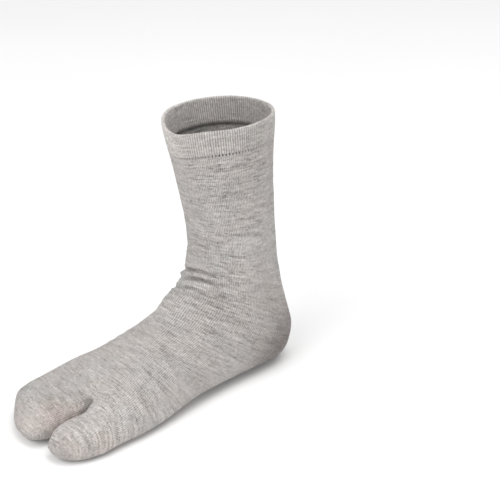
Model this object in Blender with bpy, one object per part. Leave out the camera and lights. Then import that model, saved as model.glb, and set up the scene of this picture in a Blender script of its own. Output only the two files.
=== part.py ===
"""Split-toe sock for a right foot, in the form that it has when worn and standing on a floor.

Run with: blender --background --python part.py
Metres, +Z up. The toes point to -Y and the big toe is on the +X side. The origin is on the inner face
of the sole, under the axis of the ankle, where the wearer's foot sits.
"""

from collections import namedtuple

import bmesh
import bpy
import numpy as np

# Sizes of the foot, outside
FOOT_LENGTH = 0.260  # back of the heel to the tip of the toes
HEEL_REACH = 0.056  # ankle axis to the back of the heel
SPLIT_DEPTH = 0.052  # tip of the toes back to the bottom of the split
SPLIT_GAP = 0.005  # clear width between the two toe pockets
SPLIT_DIP = 0.005  # the hollow that runs back from the split, above and below
BALL_WIDTH = 0.104  # across the ball of the foot
TOE_HEIGHT = 0.029  # over the root of the toes
ANKLE_HEIGHT = 0.110  # floor to where the foot becomes the leg

# Sizes of the leg, at its upper edge
LEG_HEIGHT = 0.200  # floor to the upper edge, under the welt
LEG_WIDTH = 0.082  # side to side
LEG_DEPTH = 0.087  # front to back
RIM_SAG = 0.0065  # how far that edge has slipped down at the front

# Fabric
KNIT_WALL = 0.0013  # plain knit of the leg and foot
FOLD_DEPTH = 0.0024  # how deep the main creases at the bend of the ankle are
WELT_WALL = 0.0024  # the turned-over band at the rim, two plies
WELT_HEIGHT = 0.0203
WELT_FLARE = 0.0022  # how far the rim spreads beyond the band's lower edge
PIECE_GAP = 0.0003  # between pieces that touch
SEAM_RADIUS = 0.0007  # the linked seam that closes a toe pocket

# Mesh counts. The first MEDIAL_COLUMNS of the COLUMNS round the foot run on into the big toe's pocket.
COLUMNS = 36
MEDIAL_COLUMNS = 14
WEB_COLUMNS = 4
ROOT_ROWS = 3  # from the bottom of the split to a pocket's first section
CURVE_SAMPLES = 720  # points of an outline before it is divided evenly
SEAM_RESOLUTION = 2

# Places that follow from the sizes
FLOOR = -KNIT_WALL
SPLIT_AHEAD = FOOT_LENGTH - HEEL_REACH - SPLIT_DEPTH  # ankle axis to the bottom of the split
SPLIT_X = 0.16 * BALL_WIDTH

# Sections of the leg, downwards. rise_front and rise_back are shares of the leg's height above the
# ankle; ahead_front and ahead_back of LEG_DEPTH, from the ankle axis towards the toes; middle and half
# of LEG_WIDTH, to the section's middle and from there to either side. rows is the number of mesh rows
# down to the next section.
LegSection = namedtuple("LegSection", "rise_front rise_back ahead_front ahead_back middle half rows")
LEG_SECTIONS = (
    LegSection(0.97, 1.015, 0.565, -0.415, -0.080, 0.485, 3),
    LegSection(0.70, 0.74, 0.515, -0.405, -0.060, 0.445, 3),
    LegSection(0.38, 0.34, 0.465, -0.420, -0.035, 0.405, 3),
    LegSection(0.12, 0.00, 0.430, -0.445, -0.025, 0.390, 5),
)
LEG_ROUNDNESS = 2.1  # exponent of the sections' outline, 2 for an ellipse

# Where the upper edge has slipped down: the place round it, the reach to either side of that, and how
# many sections further down it has faded out
SAG_MIDDLE = -0.01
SAG_REACH = 0.09
SAG_FADE = 1.4

# Sections of the foot, from the ankle round the heel to the bottom of the split. ahead_front, and
# ahead_back where it is ahead of the ankle axis, are shares of SPLIT_AHEAD, and ahead_back behind the
# axis of HEEL_REACH. rise_front and rise_back are shares of ANKLE_HEIGHT, crest, medial, lateral and
# sweep of BALL_WIDTH, and arch of TOE_HEIGHT. crest is the place of the section's highest line, level
# how high up it is widest, sweep how far its outer side trails behind, and arch how far its sole is
# lifted on the big toe's side. round_front and round_back are exponents of its outline.
FootSection = namedtuple(
    "FootSection",
    "rise_front rise_back ahead_front ahead_back crest medial lateral level round_front round_back sweep arch rows",
)
FOOT_SECTIONS = (
    FootSection(0.950, 0.740, 0.257, -0.745, -0.01, 0.305, 0.325, 0.50, 2.1, 2.1, 0.00, 0.00, 8),
    FootSection(0.850, 0.480, 0.286, -0.875, -0.01, 0.315, 0.330, 0.52, 2.1, 2.2, 0.00, 0.00, 8),
    FootSection(0.770, 0.230, 0.358, -0.985, 0.00, 0.333, 0.340, 0.50, 2.1, 2.3, 0.00, 0.00, 6),
    FootSection(0.700, 0.045, 0.425, -0.820, 0.00, 0.334, 0.345, 0.45, 2.1, 2.4, 0.00, 0.00, 3),
    FootSection(0.630, -0.015, 0.490, -0.380, 0.02, 0.330, 0.360, 0.40, 2.1, 2.5, 0.00, 0.16, 3),
    FootSection(0.560, -0.020, 0.580, 0.120, 0.04, 0.350, 0.400, 0.38, 2.1, 2.8, 0.01, 0.24, 3),
    FootSection(0.495, -0.020, 0.685, 0.400, 0.06, 0.395, 0.450, 0.36, 2.1, 2.8, 0.03, 0.26, 3),
    FootSection(0.435, -0.020, 0.790, 0.630, 0.10, 0.455, 0.500, 0.36, 2.1, 3.0, 0.06, 0.12, 3),
    FootSection(0.378, -0.020, 0.895, 0.830, 0.14, 0.495, 0.537, 0.40, 2.3, 3.0, 0.10, 0.00, 3),
    FootSection(0.325, -0.020, 1.000, 0.985, 0.16, 0.504, 0.548, 0.44, 2.4, 3.0, 0.14, 0.00, 0),
)

# Sections of the two toe pockets, beyond the bottom of the split. ahead_inner and ahead_outer, at the
# sides next to and away from the split, and bow, how far the middle is ahead of them, are shares of
# SPLIT_DEPTH; inner and outer of BALL_WIDTH, from the middle of the split; low, high and slope, how much
# lower the top is at the outer side, of TOE_HEIGHT.
ToeSection = namedtuple("ToeSection", "ahead_inner ahead_outer bow inner outer low high slope roundness rows")
BIG_TOE_SECTIONS = (
    ToeSection(0.26, 0.24, 0.00, 0.000, 0.338, -0.02, 1.00, 0.03, 2.4, 2),
    ToeSection(0.56, 0.54, 0.02, 0.000, 0.325, -0.02, 0.95, 0.03, 2.4, 2),
    ToeSection(0.79, 0.75, 0.04, 0.003, 0.294, 0.02, 0.84, 0.03, 2.4, 2),
    ToeSection(0.89, 0.85, 0.05, 0.022, 0.252, 0.09, 0.66, 0.02, 2.3, 1),
    ToeSection(0.92, 0.88, 0.05, 0.045, 0.218, 0.19, 0.43, 0.00, 2.2, 0),
)
SMALL_TOE_SECTIONS = (
    ToeSection(0.24, 0.02, 0.03, 0.000, 0.692, -0.02, 1.06, 0.16, 2.5, 2),
    ToeSection(0.54, 0.28, 0.07, 0.000, 0.678, -0.02, 1.01, 0.16, 2.5, 2),
    ToeSection(0.78, 0.53, 0.12, 0.005, 0.624, 0.01, 0.91, 0.12, 2.4, 2),
    ToeSection(0.90, 0.68, 0.13, 0.028, 0.545, 0.05, 0.71, 0.08, 2.3, 1),
    ToeSection(0.93, 0.73, 0.13, 0.055, 0.487, 0.16, 0.44, 0.00, 2.2, 0),
)

# Creases at the bend of the ankle, and the hollow behind its bone. place counts along the sections from
# the leg's upper edge, a whole number being on a section, and width is in sections too. middle is where
# round the section the crease is deepest (0 front, 0.25 big toe's side, 0.5 back) and reach how far round
# it runs from there. depth is a share of FOLD_DEPTH, negative for a roll that stands out. lean is how
# many sections further down a crease runs for a turn from FOLD_CREST towards the small toes' side.
Fold = namedtuple("Fold", "place middle reach width depth lean")
FOLDS = (
    Fold(2.35, 0.03, 0.16, 0.16, 0.25, 2),
    Fold(3.05, 0.02, 0.20, 0.18, 0.40, 3),
    Fold(3.65, 0.29, 0.11, 0.55, 0.75, 0),
    Fold(4.00, 0.11, 0.12, 0.14, 0.40, 0),
    Fold(4.43, -0.03, 0.17, 0.16, 1.00, 4),
    Fold(4.72, -0.02, 0.17, 0.13, -0.50, 4),
    Fold(5.00, -0.01, 0.20, 0.15, 0.90, 4),
    Fold(5.30, 0.02, 0.22, 0.13, -0.25, 4),
    Fold(5.62, 0.00, 0.22, 0.23, 1.30, 4),
    Fold(6.10, 0.03, 0.20, 0.16, 0.45, 3),
)
FOLD_CREST = 0.04
LEANING = 0.15  # how far round from FOLD_CREST the creases lean

# The welt's profile, up the outside, over the fold at the rim and down the inside. out is a share of
# WELT_WALL from the inner face, and up of WELT_HEIGHT.
WeltPoint = namedtuple("WeltPoint", "out up")
WELT_PROFILE = (
    WeltPoint(0.90, 0.00),
    WeltPoint(1.00, 0.06),
    WeltPoint(1.00, 0.50),
    WeltPoint(1.00, 0.94),
    WeltPoint(0.80, 0.99),
    WeltPoint(0.50, 1.00),
    WeltPoint(0.20, 0.99),
    WeltPoint(0.00, 0.94),
    WeltPoint(0.00, 0.50),
    WeltPoint(0.00, 0.06),
    WeltPoint(0.10, 0.00),
)

# Yarn colours
HEATHER_GREY = (0.47, 0.45, 0.44, 1.0)
WELT_GREY = (0.50, 0.48, 0.47, 1.0)
LINKING_GREY = (0.42, 0.40, 0.39, 1.0)
WOOL_ROUGHNESS = 0.95


def tube_table():
    """The leg's and foot's sections as rows of one table, in metres."""
    leg_rise = LEG_HEIGHT - ANKLE_HEIGHT
    rows = []
    for s in LEG_SECTIONS:
        rows.append((
            -s.ahead_front * LEG_DEPTH, FLOOR + ANKLE_HEIGHT + s.rise_front * leg_rise,
            -s.ahead_back * LEG_DEPTH, FLOOR + ANKLE_HEIGHT + s.rise_back * leg_rise,
            s.middle * LEG_WIDTH, (s.middle + s.half) * LEG_WIDTH, (s.half - s.middle) * LEG_WIDTH,
            0.5, LEG_ROUNDNESS, LEG_ROUNDNESS, 0.0, 0.0,
        ))
    for s in FOOT_SECTIONS:
        back_length = SPLIT_AHEAD if s.ahead_back > 0 else HEEL_REACH
        rows.append((
            -s.ahead_front * SPLIT_AHEAD, FLOOR + s.rise_front * ANKLE_HEIGHT,
            -s.ahead_back * back_length, FLOOR + s.rise_back * ANKLE_HEIGHT,
            s.crest * BALL_WIDTH, s.medial * BALL_WIDTH, s.lateral * BALL_WIDTH,
            s.level, s.round_front, s.round_back, s.sweep * BALL_WIDTH, s.arch * TOE_HEIGHT,
        ))
    return np.array(rows)


def mesh_places(row_counts):
    """Where along its sections each mesh row of a tube is."""
    places = [k + step / count for k, count in enumerate(row_counts[:-1]) for step in range(count)]
    return places + [len(row_counts) - 1]


def between(keys, place):
    """The value at a fractional place in a list of rows, on a smooth curve through them."""
    last = len(keys) - 1
    k = min(int(place), last - 1)
    t = place - k
    here, after = keys[k], keys[k + 1]
    before = keys[k - 1] if k > 0 else 2 * here - after
    beyond = keys[k + 2] if k + 2 <= last else 2 * after - here
    return here + 0.5 * t * (
        (after - before)
        + (2 * before - 5 * here + 4 * after - beyond) * t
        + (3 * here - before - 3 * after + beyond) * t**2
    )


def divided(outline, shares):
    """The points of a closed outline at these shares of its length."""
    loop = np.vstack([outline, outline[:1]])
    along = np.concatenate([[0.0], np.cumsum(np.linalg.norm(np.diff(loop, axis=0), axis=1))])
    at = (np.asarray(shares) % 1.0) * along[-1]
    return np.stack([np.interp(at, along, loop[:, axis]) for axis in range(3)], axis=1)


def rounded_square(exponent):
    """Points round a superellipse of half width 1: exponent 2 is a circle, and more is squarer."""
    angle = np.arange(CURVE_SAMPLES) / CURVE_SAMPLES * 2 * np.pi
    c, s = np.cos(angle), np.sin(angle)
    power = 2 / (np.where(c > 0, *exponent) if isinstance(exponent, tuple) else exponent)
    return np.sign(c) * np.abs(c) ** power, np.sign(s) * np.abs(s) ** power


def tube_outline(row):
    """A section's outline, from the front over the big toe's side to the back and round again."""
    front_y, front_z, back_y, back_z, crest, medial, lateral, level, round_front, round_back, sweep, arch = row
    up, across = rounded_square((round_front, round_back))
    share = np.where(up > 0, level + (1 - level) * up, level + level * up)
    x = crest * (1 - np.abs(across)) + np.where(across > 0, medial, lateral) * across
    trail = sweep * np.clip((crest - x) / (crest + lateral), 0, 1) ** 2
    lift = arch * np.clip((x - crest) / (medial - crest), 0, 1) * (1 - share) ** 2
    y = back_y + (front_y - back_y) * share + trail
    z = back_z + (front_z - back_z) * share + lift
    return np.stack([x, y, np.maximum(z, FLOOR)], axis=1)


def turns_from(turn, middle):
    """How far round a section each column is from one place, at most half a turn either way."""
    return (turn - middle + 0.5) % 1.0 - 0.5


def fold_depth(place, turn):
    """How far the creases press the fabric in, at a place along the sections."""
    depth = np.zeros_like(turn)
    for fold in FOLDS:
        fade = np.clip(1 - (turns_from(turn, fold.middle) / fold.reach) ** 2, 0, 1) ** 2
        middle = fold.place + fold.lean * np.clip(-turns_from(turn, FOLD_CREST), 0, LEANING)
        depth += fold.depth * FOLD_DEPTH * fade * np.exp(-(((place - middle) / fold.width) ** 2))
    return depth


def rim_sag(place, turn):
    """How far the fabric has slipped down at a place, most at the leg's upper edge."""
    fade = max(1 - place / SAG_FADE, 0)
    return RIM_SAG * fade * np.exp(-((turns_from(turn, SAG_MIDDLE) / SAG_REACH) ** 2))


def split_dip(place, turn, column):
    """The depth of the hollow behind the split, which fades backwards and to both sides."""
    columns_off = turns_from(turn, column / COLUMNS) * COLUMNS
    sections_off = len(LEG_SECTIONS) + len(FOOT_SECTIONS) - 1 - place
    return SPLIT_DIP * np.exp(-((columns_off / 1.6) ** 2) - (sections_off / 0.7) ** 2)


def tube_ring(table, place):
    """One ring of the leg or foot, at a place along the sections."""
    turn = np.arange(COLUMNS) / COLUMNS
    outline = tube_outline(between(table, place))
    ring = divided(outline, turn)
    inward = outline.mean(axis=0) - ring
    inward /= np.linalg.norm(inward, axis=1)[:, None]
    ring += inward * fold_depth(place, turn)[:, None]
    ring[:, 2] -= rim_sag(place, turn)
    ring[:, 2] += split_dip(place, turn, MEDIAL_COLUMNS) - split_dip(place, turn, 0)
    ring[:, 2] = np.maximum(ring[:, 2], FLOOR)
    return ring


def toe_ring(section, side):
    """A toe pocket's section. side is 1 for the big toe and -1 for the small toes.

    Its points are numbered on from the foot's columns: over the top of the big toe's pocket, or under
    the small toes' pocket, to the outer side and back, and last up or down the side next to the split.
    """
    inwards, up = rounded_square(section.roundness)
    out = (1 - inwards) / 2
    inner = SPLIT_X + side * (SPLIT_GAP / 2 + section.inner * BALL_WIDTH)
    outer = SPLIT_X + side * (SPLIT_GAP / 2 + section.outer * BALL_WIDTH)
    ahead = section.ahead_inner * (1 - out) + section.ahead_outer * out + section.bow * 4 * out * (1 - out)
    high = section.high - section.slope * out
    rise = (high + section.low) / 2 + side * up * (high - section.low) / 2
    x = inner + (outer - inner) * out
    y = -(SPLIT_AHEAD + ahead * SPLIT_DEPTH)
    outline = np.stack([x, y, FLOOR + np.maximum(rise, 0) * TOE_HEIGHT], axis=1)
    columns = MEDIAL_COLUMNS if side > 0 else COLUMNS - MEDIAL_COLUMNS
    count = columns + WEB_COLUMNS
    return divided(outline, (np.arange(count) + WEB_COLUMNS / 2) / count)


def foot_columns(side):
    """The foot's columns that run on into a toe pocket."""
    first, last = (0, MEDIAL_COLUMNS) if side > 0 else (MEDIAL_COLUMNS, COLUMNS)
    return np.arange(first, last + 1) % COLUMNS


def web_between(near, far):
    """The bottom of the split, from one of its ends to the other."""
    shares = np.arange(1, WEB_COLUMNS) / WEB_COLUMNS
    return near + (far - near) * shares[:, None]


def pocket_rings(table, side):
    """The rings of a toe pocket, the first of them at the bottom of the split."""
    sections, others = (BIG_TOE_SECTIONS, SMALL_TOE_SECTIONS)[::side]
    columns = foot_columns(side)
    end = tube_ring(table, len(table) - 1)[columns]
    behind = tube_ring(table, len(table) - 2)[columns]
    start = np.vstack([end, web_between(end[-1], end[0])])
    other_web = toe_ring(others[0], -side)[1 - WEB_COLUMNS :][::-1]
    keys = np.array([np.vstack([behind, other_web]), start] + [toe_ring(s, side) for s in sections])
    places = mesh_places([ROOT_ROWS] + [s.rows for s in sections])
    rings = np.array([between(keys, 1 + place) for place in places])
    rings[:, :, 2] = np.maximum(rings[:, :, 2], FLOOR)
    return rings


def closing_pairs(columns):
    """Pairs of columns of a toe pocket's last ring, one over the other, from the split outwards."""
    count = len(columns) - 1 + WEB_COLUMNS
    start = len(columns) - 1 + WEB_COLUMNS // 2
    return [((start + k) % count, (start - k) % count) for k in range(count // 2 + 1)]


def add_strip(bm, near, far):
    """Quads between two closed rings of vertices."""
    for k, vert in enumerate(near):
        after = (k + 1) % len(near)
        bm.faces.new((vert, far[k], far[after], near[after]))


def add_pocket(bm, rings, foot_ring, web, columns):
    """The mesh of one toe pocket, and of the end that closes it."""
    near = [foot_ring[c] for c in columns] + web
    for points in rings[1:]:
        far = [bm.verts.new(point) for point in points]
        add_strip(bm, near, far)
        near = far
    pairs = closing_pairs(columns)
    for (one, other), (next_one, next_other) in zip(pairs, pairs[1:]):
        corners = []
        for index in (other, one, next_one, next_other):
            if near[index] not in corners:
                corners.append(near[index])
        bm.faces.new(corners)


def sock_body(table):
    """The leg, heel, foot and both toe pockets: one knitted piece, open at its upper edge."""
    bm = bmesh.new()
    places = mesh_places([s.rows for s in LEG_SECTIONS + FOOT_SECTIONS])
    rings = [[bm.verts.new(point) for point in tube_ring(table, place)] for place in places]
    for near, far in zip(rings, rings[1:]):
        add_strip(bm, near, far)
    big_rings, small_rings = pocket_rings(table, 1), pocket_rings(table, -1)
    web = [bm.verts.new(point) for point in big_rings[0][MEDIAL_COLUMNS + 1 :]]
    add_pocket(bm, big_rings, rings[-1], web, foot_columns(1))
    add_pocket(bm, small_rings, rings[-1], web[::-1], foot_columns(-1))
    bmesh.ops.recalc_face_normals(bm, faces=bm.faces)
    body = add_object("sock_body", bm, HEATHER_GREY)
    wall = body.modifiers.new("wall", "SOLIDIFY")
    wall.thickness = KNIT_WALL
    wall.offset = -1.0
    wall.use_even_offset = True
    wall.use_quality_normals = True
    return body


def cuff_welt(table):
    """The turned-over ribbed band that ends the leg. It stands just clear of the leg's upper edge."""
    base, below = tube_ring(table, 0), tube_ring(table, 0.5)
    middle = base.mean(axis=0)
    up = middle - below.mean(axis=0)
    up /= np.linalg.norm(up)
    out = base - middle
    out -= (out @ up)[:, None] * up
    out /= np.linalg.norm(out, axis=1)[:, None]
    bm = bmesh.new()
    rings = []
    for point in WELT_PROFILE:
        offset = (point.out - 1) * WELT_WALL + point.up * WELT_FLARE
        lift = PIECE_GAP + point.up * WELT_HEIGHT
        rings.append([bm.verts.new(p) for p in base + out * offset + up * lift])
    for near, far in zip(rings, rings[1:] + rings[:1]):
        add_strip(bm, near, far)
    bmesh.ops.recalc_face_normals(bm, faces=bm.faces)
    return add_object("cuff_welt", bm, WELT_GREY)


def toe_seam(name, table, side):
    """The linked seam across the end of a toe pocket, a raised line of doubled yarn."""
    end = pocket_rings(table, side)[-1]
    one, other = end[np.array(closing_pairs(foot_columns(side)))].transpose(1, 0, 2)
    middle = (one + other) / 2
    ahead = np.cross(middle[2:] - middle[:-2], one[1:-1] - other[1:-1])
    ahead /= np.linalg.norm(ahead, axis=1)[:, None]
    route = middle[1:-1] + ahead * (SEAM_RADIUS + PIECE_GAP)
    curve = bpy.data.curves.new(name, "CURVE")
    curve.dimensions = "3D"
    curve.bevel_depth = SEAM_RADIUS
    curve.bevel_resolution = SEAM_RESOLUTION
    curve.use_fill_caps = True
    line = curve.splines.new("POLY")
    line.points.add(len(route) - 1)
    for point, place in zip(line.points, route):
        point.co = (*place, 1.0)
    return link_object(name, curve, LINKING_GREY)


def add_object(name, bm, colour):
    """A smooth-shaded object made of this mesh."""
    mesh = bpy.data.meshes.new(name)
    bm.to_mesh(mesh)
    bm.free()
    mesh.shade_smooth()
    return link_object(name, mesh, colour)


def link_object(name, data, colour):
    """An object in the scene, with a yarn material of its own."""
    material = bpy.data.materials.new(name + "_yarn")
    material.use_nodes = True
    shader = material.node_tree.nodes["Principled BSDF"]
    shader.inputs["Base Color"].default_value = colour
    shader.inputs["Roughness"].default_value = WOOL_ROUGHNESS
    shader.inputs["Metallic"].default_value = 0.0
    data.materials.append(material)
    obj = bpy.data.objects.new(name, data)
    bpy.context.scene.collection.objects.link(obj)
    return obj


def main():
    for obj in list(bpy.data.objects):
        bpy.data.objects.remove(obj)
    table = tube_table()
    sock_body(table)
    cuff_welt(table)
    toe_seam("big_toe_seam", table, 1)
    toe_seam("small_toes_seam", table, -1)


main()
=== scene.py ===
"""The split-toe sock's visible pieces, materials, light and camera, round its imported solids."""

import math
from collections import namedtuple

import bpy
import numpy as np
from mathutils import Matrix, Vector, noise
from mathutils.bvhtree import BVHTree


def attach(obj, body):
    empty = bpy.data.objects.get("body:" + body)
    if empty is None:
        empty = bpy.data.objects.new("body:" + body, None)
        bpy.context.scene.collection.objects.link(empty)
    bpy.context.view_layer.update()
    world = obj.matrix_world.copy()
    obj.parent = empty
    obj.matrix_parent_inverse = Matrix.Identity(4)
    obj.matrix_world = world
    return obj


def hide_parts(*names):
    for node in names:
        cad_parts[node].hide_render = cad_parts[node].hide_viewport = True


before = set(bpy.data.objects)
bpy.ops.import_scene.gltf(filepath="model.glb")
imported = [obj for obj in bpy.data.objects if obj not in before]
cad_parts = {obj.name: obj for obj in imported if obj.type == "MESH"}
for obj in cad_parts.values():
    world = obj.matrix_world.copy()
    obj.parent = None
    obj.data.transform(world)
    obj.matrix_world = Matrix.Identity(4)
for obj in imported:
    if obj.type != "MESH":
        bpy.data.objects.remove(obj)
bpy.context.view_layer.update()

# Sizes of the part's source, in metres
FOOT_LENGTH = 0.260
HEEL_REACH = 0.056
SPLIT_DEPTH = 0.052
SPLIT_GAP = 0.005
SPLIT_DIP = 0.005
BALL_WIDTH = 0.104
TOE_HEIGHT = 0.029
ANKLE_HEIGHT = 0.110
LEG_HEIGHT = 0.200
LEG_WIDTH = 0.082
LEG_DEPTH = 0.087
RIM_SAG = 0.0065
KNIT_WALL = 0.0013
FOLD_DEPTH = 0.0024
WELT_WALL = 0.0024
WELT_HEIGHT = 0.0203
WELT_FLARE = 0.0022
PIECE_GAP = 0.0003
FLOOR = -KNIT_WALL
SPLIT_AHEAD = FOOT_LENGTH - HEEL_REACH - SPLIT_DEPTH
SPLIT_X = 0.16 * BALL_WIDTH
CURVE_SAMPLES = 1440
SOURCE_COLUMNS = 36
SOURCE_MEDIAL = 14


def rows_of(kind, *rows):
    """A table whose rows have named columns."""
    return tuple(kind(*row) for row in rows)


LegSection = namedtuple("LegSection", "rise_front rise_back ahead_front ahead_back middle half rows")
LEG_SECTIONS = rows_of(
    LegSection,
    (0.97, 1.015, 0.565, -0.415, -0.08, 0.485, 20),
    (0.7, 0.74, 0.515, -0.405, -0.06, 0.445, 20),
    (0.38, 0.34, 0.465, -0.42, -0.035, 0.405, 18),
    (0.12, 0.0, 0.43, -0.445, -0.025, 0.39, 16),
)
LEG_ROUNDNESS = 2.1
SAG_MIDDLE = -0.01
SAG_REACH = 0.09
SAG_FADE = 1.4

FootSection = namedtuple(
    "FootSection",
    "rise_front rise_back ahead_front ahead_back crest medial lateral level round_front round_back sweep arch"
    " rows",
)
FOOT_SECTIONS = rows_of(
    FootSection,
    (0.95, 0.74, 0.257, -0.745, -0.01, 0.305, 0.325, 0.5, 2.1, 2.1, 0.0, 0.0, 16),
    (0.85, 0.48, 0.286, -0.875, -0.01, 0.315, 0.33, 0.52, 2.1, 2.2, 0.0, 0.0, 16),
    (0.77, 0.23, 0.358, -0.985, 0.0, 0.333, 0.34, 0.5, 2.1, 2.3, 0.0, 0.0, 16),
    (0.7, 0.045, 0.425, -0.82, 0.0, 0.334, 0.345, 0.45, 2.1, 2.4, 0.0, 0.0, 14),
    (0.63, -0.015, 0.49, -0.38, 0.02, 0.33, 0.36, 0.4, 2.1, 2.5, 0.0, 0.16, 14),
    (0.56, -0.02, 0.58, 0.12, 0.04, 0.35, 0.4, 0.38, 2.1, 2.8, 0.01, 0.24, 14),
    (0.495, -0.02, 0.685, 0.4, 0.06, 0.395, 0.45, 0.36, 2.1, 2.8, 0.03, 0.26, 14),
    (0.435, -0.02, 0.79, 0.63, 0.1, 0.455, 0.5, 0.36, 2.1, 3.0, 0.06, 0.12, 14),
    (0.378, -0.02, 0.895, 0.83, 0.14, 0.495, 0.537, 0.4, 2.3, 3.0, 0.1, 0.0, 14),
    (0.325, -0.02, 1.0, 0.985, 0.16, 0.504, 0.548, 0.44, 2.4, 3.0, 0.14, 0.0, 0),
)

ToeSection = namedtuple("ToeSection", "ahead_inner ahead_outer bow inner outer low high slope roundness rows")
BIG_TOE = rows_of(
    ToeSection,
    (0.26, 0.24, 0.0, 0.0, 0.338, -0.02, 1.0, 0.03, 2.4, 12),
    (0.56, 0.54, 0.02, 0.0, 0.325, -0.02, 0.95, 0.03, 2.4, 10),
    (0.79, 0.75, 0.04, 0.003, 0.294, 0.02, 0.84, 0.03, 2.4, 6),
    (0.89, 0.85, 0.05, 0.022, 0.252, 0.09, 0.66, 0.02, 2.3, 4),
    (0.92, 0.88, 0.05, 0.045, 0.218, 0.19, 0.43, 0.0, 2.2, 0),
)
SMALL_TOES = rows_of(
    ToeSection,
    (0.24, 0.02, 0.03, 0.0, 0.692, -0.02, 1.06, 0.16, 2.5, 12),
    (0.54, 0.28, 0.07, 0.0, 0.678, -0.02, 1.01, 0.16, 2.5, 10),
    (0.78, 0.53, 0.12, 0.005, 0.624, 0.01, 0.91, 0.12, 2.4, 6),
    (0.9, 0.68, 0.13, 0.028, 0.545, 0.05, 0.71, 0.08, 2.3, 4),
    (0.93, 0.73, 0.13, 0.055, 0.487, 0.16, 0.44, 0.0, 2.2, 0),
)
ROOT_ROWS = 14
CAP_REACH = 0.0009  # how far a toe's rounded end stands out

Fold = namedtuple("Fold", "place middle reach width depth lean")
FOLDS = rows_of(
    Fold,
    (2.35, 0.03, 0.16, 0.16, 0.25, 2),
    (3.05, 0.02, 0.2, 0.18, 0.4, 3),
    (3.65, 0.29, 0.11, 0.55, 0.75, 0),
    (4.0, 0.11, 0.12, 0.14, 0.4, 0),
    (4.43, -0.03, 0.17, 0.16, 1.0, 4),
    (4.72, -0.02, 0.17, 0.13, -0.5, 4),
    (5.0, -0.01, 0.2, 0.15, 0.9, 4),
    (5.3, 0.02, 0.22, 0.13, -0.25, 4),
    (5.62, 0.0, 0.22, 0.23, 1.3, 4),
    (6.1, 0.03, 0.2, 0.16, 0.45, 3),
)
FOLD_CREST = 0.04
LEANING = 0.15

# Mesh grids: columns round the leg, those of the big toe's side, columns of the split's bottom, how
# many of the tables' rows make one mesh row, and rows over a toe's rounded end.
Grid = namedtuple("Grid", "columns medial web every cap", defaults=(0, 0, 1, 0))
OUTSIDE = Grid(288, 112, 32, 1, 9)
INSIDE = Grid(72, 28, 8, 2, 3)

# Knit
TIP_SOFTNESS = 0.010  # how far round the toes' ends the cloth is drawn smooth
TIP_PASSES = (110, 7)  # how often, outside and inside
SPLIT_SOFTNESS = 0.007  # how far round the bottom of the split the cloth is drawn smooth
SPLIT_PASSES = (45, 6)
LEAST_WALL = 0.8  # how much of the wall is left where the cloth is drawn smooth
WALES = 168  # stitches round the leg
COURSE = 0.0009  # height of one row of stitches
COUNTED_AT = 0.13  # the turn at which the courses are counted
WEB_WALES = 18  # stitches over the bottom of the split

# Creases that are finer than the source's folds. Each runs over points (place along the sections, turn
# round them) and is a groove of this depth and half width in metres, with a roll on its lower side, whose
# place and width are in half widths.
ROLL_PLACE = 1.9
ROLL_WIDTH = 1.3
Crease = namedtuple("Crease", "depth width roll points")
CREASES = rows_of(
    Crease,
    (0.0014, 0.0011, 1.0, ((4.9, -0.06), (4.65, -0.02), (4.45, 0.02), (4.45, 0.06), (4.6, 0.1))),
    (0.0009, 0.001, 0.7, ((3.9, 0.03), (3.95, 0.06), (3.95, 0.11), (4.15, 0.15), (4.3, 0.18))),
    (0.0015, 0.0011, 1.0, ((5.5, -0.06), (5.25, -0.01), (4.95, 0.03), (5.0, 0.06), (5.1, 0.11))),
    (0.0017, 0.0012, 1.0, ((6.15, -0.06), (6.0, -0.02), (5.75, 0.02), (5.75, 0.07), (5.85, 0.12))),
    (0.0013, 0.0011, 0.8, ((6.5, -0.06), (6.2, 0.0), (6.05, 0.03), (6.1, 0.07), (6.25, 0.11))),
    (0.002, 0.0016, 0.0, ((5.95, -0.14), (5.7, -0.07), (5.4, 0.0))),
    (-0.0008, 0.0012, 0.0, ((4.95, -0.03), (4.75, 0.02), (4.7, 0.06), (4.85, 0.11))),
    (-0.0011, 0.0013, 0.0, ((5.55, -0.04), (5.4, 0.0), (5.15, 0.06), (5.25, 0.11), (5.4, 0.15))),
    (-0.0012, 0.0013, 0.0, ((6.3, -0.05), (6.15, -0.01), (5.85, 0.03), (5.85, 0.08), (5.9, 0.13))),
    (-0.0006, 0.002, 0.0, ((6.5, 0.05), (6.65, 0.09), (6.65, 0.15), (6.8, 0.2))),
    (0.0006, 0.0014, 0.7, ((7.0, -0.03), (6.75, 0.05), (6.95, 0.11), (7.1, 0.15))),
    (0.0005, 0.001, 0.6, ((2.6, -0.08), (2.35, 0.04), (2.3, 0.09))),
    (0.0007, 0.001, 0.7, ((3.35, -0.08), (3.1, 0.03), (3.0, 0.09), (3.1, 0.12))),
    (0.0006, 0.0011, 0.7, ((2.15, 0.19), (2.2, 0.24), (2.3, 0.28), (2.45, 0.31))),
    (0.0006, 0.0011, 0.7, ((2.4, 0.23), (2.5, 0.25), (2.75, 0.28), (2.85, 0.3))),
    (-0.0011, 0.0022, 0.0, ((3.3, 0.35), (3.7, 0.34), (4.2, 0.33), (4.7, 0.33))),
    (0.0009, 0.0022, 0.3, ((5.1, 0.35), (5.65, 0.34), (6.35, 0.32), (7.5, 0.33))),
    (0.0008, 0.0016, 0.4, ((11.6, 0.06), (12.05, 0.07), (12.6, 0.07))),
)


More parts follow.
